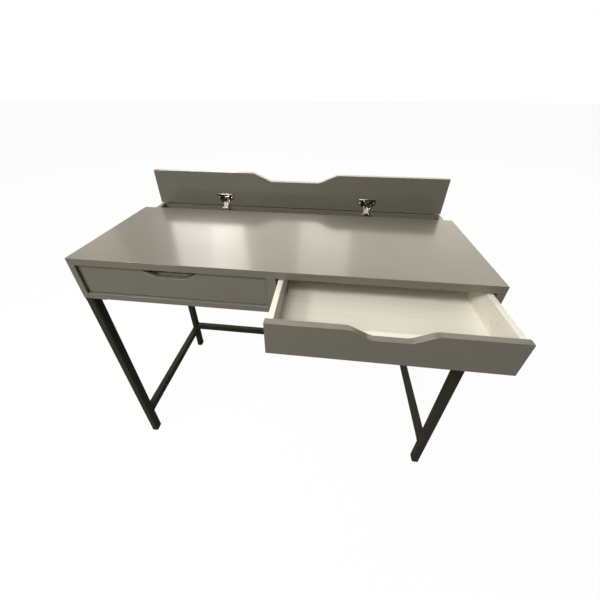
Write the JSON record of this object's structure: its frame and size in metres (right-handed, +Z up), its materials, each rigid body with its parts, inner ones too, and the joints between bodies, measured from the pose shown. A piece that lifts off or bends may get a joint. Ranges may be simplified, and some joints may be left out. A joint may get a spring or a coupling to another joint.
{
  "type": "writing_desk",
  "caption": "Small writing desk in grey lacquer: shallow drawers with finger cutouts, a lift-up lid over a cable trough at the back, on a slim tubular steel frame",
  "frame": {"origin": "on the floor under the middle of the whole desk as it stands, with the left drawer shut, the right drawer pulled out and the trough lid open", "axes": "+Z up; +X to the right and +Y away from a person sitting at the desk"},
  "size_m": [1, 0.631, 0.8555],
  "materials": {
    "grey_lacquer": "semi-gloss lacquer on board",
    "white_board": "satin melamine on board",
    "painted_steel": "satin powder coat",
    "nickel_steel": "nickel plated",
    "zinc_steel": "zinc plated",
    "white_plastic": "satin",
    "black_plastic": "matt",
    "grey_rubber": "matt",
    "beech": "raw"
  },
  "bodies": {
    "desk": {"top_panel": "grey_lacquer", "side_panel_left": "grey_lacquer", "side_panel_right": "grey_lacquer", "bottom_panel": "grey_lacquer", "center_divider": "grey_lacquer", "trough_partition": "grey_lacquer", "back_panel": "grey_lacquer", "left_runner_left": "white_plastic", "left_runner_right": "white_plastic", "hinge_arm_left": "nickel_steel", "hinge_mount_left": "nickel_steel", "leg_front_left": "painted_steel", "leg_rear_left": "painted_steel", "side_rail_left": "painted_steel", "right_runner_left": "white_plastic", "right_runner_right": "white_plastic", "hinge_arm_right": "nickel_steel", "hinge_mount_right": "nickel_steel", "leg_front_right": "painted_steel", "leg_rear_right": "painted_steel", "side_rail_right": "painted_steel", "rear_crossbar": "painted_steel", "leg_plates": "painted_steel", "foot_glides": "black_plastic", "leg_screws": "zinc_steel", "runner_screws": "zinc_steel", "cam_bolts": "zinc_steel", "cam_nuts": "zinc_steel", "hinge_mount_screws": "zinc_steel", "hinge_arm_pins": "zinc_steel", "case_dowels": "beech", "lid_bumpers": "grey_rubber", "drawer_stops": "grey_rubber"},
    "left_drawer": {"left_drawer_front": "grey_lacquer", "left_drawer_inner_front": "white_board", "left_drawer_side_left": "white_board", "left_drawer_side_right": "white_board", "left_drawer_back": "white_board", "left_drawer_floor": "white_board", "left_drawer_front_screws": "zinc_steel"},
    "right_drawer": {"right_drawer_front": "grey_lacquer", "right_drawer_inner_front": "white_board", "right_drawer_side_left": "white_board", "right_drawer_side_right": "white_board", "right_drawer_back": "white_board", "right_drawer_floor": "white_board", "right_drawer_front_screws": "zinc_steel"},
    "lid": {"trough_lid": "grey_lacquer", "hinge_cup_left": "nickel_steel", "hinge_cup_right": "nickel_steel", "hinge_cup_screws": "zinc_steel", "hinge_cup_pins": "zinc_steel"},
    "hinge_links": {"hinge_link_left": "nickel_steel", "hinge_link_right": "nickel_steel"}
  },
  "joints": [
    {"name": "left_drawer_slide", "type": "slide", "parent": "desk", "child": "left_drawer", "axis": [0, -1, 0], "range_m": [0, 0.26]},
    {"name": "right_drawer_slide", "type": "slide", "parent": "desk", "child": "right_drawer", "axis": [0, -1, 0], "range_m": [-0.1535, 0.1065]},
    {"name": "lid_hinge", "type": "hinge", "parent": "desk", "child": "lid", "pos_m": [0, 0.304, 0.7485], "axis": [1, 0, 0], "range_deg": [0, 90]},
    {"name": "hinge_link_turn", "type": "hinge", "parent": "desk", "child": "hinge_links", "pos_m": [0, 0.284, 0.735], "axis": [1, 0, 0], "range_deg": [-25, 0]}
  ],
  "couplings": [
    {"joint": "hinge_link_turn", "follows": "lid_hinge", "ratio": -0.2678}
  ]
}
